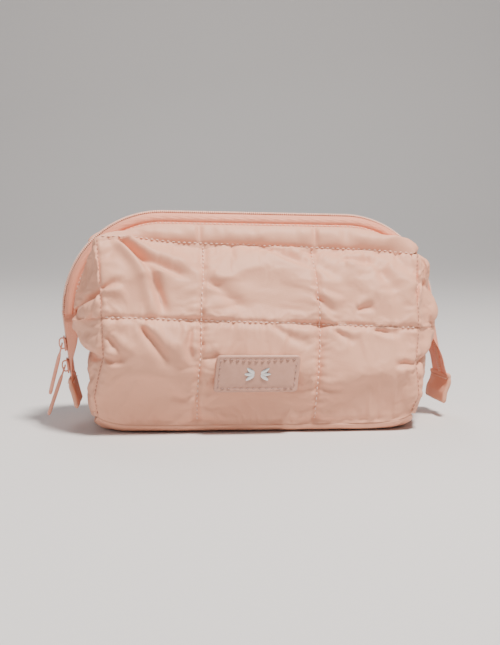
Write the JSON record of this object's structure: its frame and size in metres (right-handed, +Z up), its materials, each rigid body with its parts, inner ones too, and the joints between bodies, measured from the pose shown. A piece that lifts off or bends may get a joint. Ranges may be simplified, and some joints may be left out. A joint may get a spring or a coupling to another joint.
{
  "type": "quilted makeup bag",
  "caption": "Padded quilted makeup bag with a rounded zip mouth on sprung wires, two sliders with bar pullers, fabric end tabs and a small leather badge.",
  "frame": {"origin": "centre of the flat base, on the surface the bag stands on", "axes": "+X along the bag to its right end as seen from the front, +Y to the back, +Z up"},
  "size_m": [0.2614, 0.1082, 0.1347],
  "materials": {
    "shell_fabric": "quilted blush nylon, soft satin",
    "wadding": "white polyester wadding",
    "lining": "plain blush polyester lining",
    "zip_tape": "woven salmon-pink zip tape",
    "zip_coil": "salmon-pink nylon coil",
    "slider_metal": "salmon-pink painted zinc",
    "spring_wire": "plain spring steel wire",
    "badge_leather": "fine-grained blush leatherette",
    "emblem_foil": "silver foil print"
  },
  "bodies": {
    "lower_body": {"base_shell": "shell_fabric", "base_wadding": "wadding", "base_lining": "lining", "front_lower_shell": "shell_fabric", "front_lower_wadding": "wadding", "front_lower_lining": "lining", "back_lower_shell": "shell_fabric", "back_lower_wadding": "wadding", "back_lower_lining": "lining", "left_gusset_shell": "shell_fabric", "left_gusset_wadding": "wadding", "left_gusset_lining": "lining", "right_gusset_shell": "shell_fabric", "right_gusset_wadding": "wadding", "right_gusset_lining": "lining", "badge": "badge_leather", "badge_emblem": "emblem_foil"},
    "front_flap": {"front_upper_shell": "shell_fabric", "front_upper_wadding": "wadding", "front_upper_lining": "lining", "front_left_wing": "shell_fabric", "front_right_wing": "shell_fabric", "front_wire_channel": "shell_fabric", "front_wire": "spring_wire", "front_zip_tape": "zip_tape", "front_zip_teeth": "zip_coil"},
    "back_flap": {"back_upper_shell": "shell_fabric", "back_upper_wadding": "wadding", "back_upper_lining": "lining", "back_left_wing": "shell_fabric", "back_right_wing": "shell_fabric", "back_wire_channel": "shell_fabric", "back_wire": "spring_wire", "back_zip_tape": "zip_tape", "back_zip_teeth": "zip_coil"},
    "left_tail": {"left_tail_tape": "zip_tape", "left_tail_teeth": "zip_coil", "left_tab": "shell_fabric"},
    "right_tail": {"right_tail_tape": "zip_tape", "right_tail_teeth": "zip_coil", "right_tab": "shell_fabric"},
    "upper_slider": {"upper_slider": "slider_metal"},
    "lower_slider": {"lower_slider": "slider_metal"},
    "upper_puller": {"upper_puller": "slider_metal"},
    "lower_puller": {"lower_puller": "slider_metal"}
  },
  "joints": [
    {"name": "front_flap_fold", "type": "hinge", "parent": "lower_body", "child": "front_flap", "pos_m": [0.0046, -0.04376, 0.068], "axis": [0.9943, 0.1045, -0.0227], "range_deg": [0, 22]},
    {"name": "back_flap_fold", "type": "hinge", "parent": "lower_body", "child": "back_flap", "pos_m": [-0.0046, 0.04376, 0.068], "axis": [-0.9943, -0.1045, 0.0227], "range_deg": [0, 22]},
    {"name": "left_tail_rise", "type": "slide", "parent": "lower_body", "child": "left_tail", "axis": [0.0226, 0.0024, 0.9997], "range_m": [0, 0.0166]},
    {"name": "right_tail_rise", "type": "slide", "parent": "lower_body", "child": "right_tail", "axis": [0.0226, 0.0024, 0.9997], "range_m": [0, 0.0166]},
    {"name": "upper_slider_travel", "type": "slide", "parent": "left_tail", "child": "upper_slider", "axis": [-0.1143, -0.012, 0.9934], "range_m": [0, 0.0085]},
    {"name": "lower_slider_travel", "type": "slide", "parent": "left_tail", "child": "lower_slider", "axis": [-0.1143, -0.012, 0.9934], "range_m": [-0.0008, 0.0015]},
    {"name": "upper_puller_swing", "type": "hinge", "parent": "upper_slider", "child": "upper_puller", "pos_m": [-0.11966, -0.01258, 0.0519], "axis": [-0.1045, 0.9945, 0], "range_deg": [0, 135]},
    {"name": "lower_puller_swing", "type": "hinge", "parent": "lower_slider", "child": "lower_puller", "pos_m": [-0.11804, -0.01241, 0.0379], "axis": [-0.1045, 0.9945, 0], "range_deg": [-22, 2]}
  ],
  "couplings": [
    {"joint": "back_flap_fold", "follows": "front_flap_fold", "ratio": 1},
    {"joint": "left_tail_rise", "follows": "front_flap_fold", "m_per_rad": 0.043},
    {"joint": "right_tail_rise", "follows": "front_flap_fold", "m_per_rad": 0.043}
  ]
}
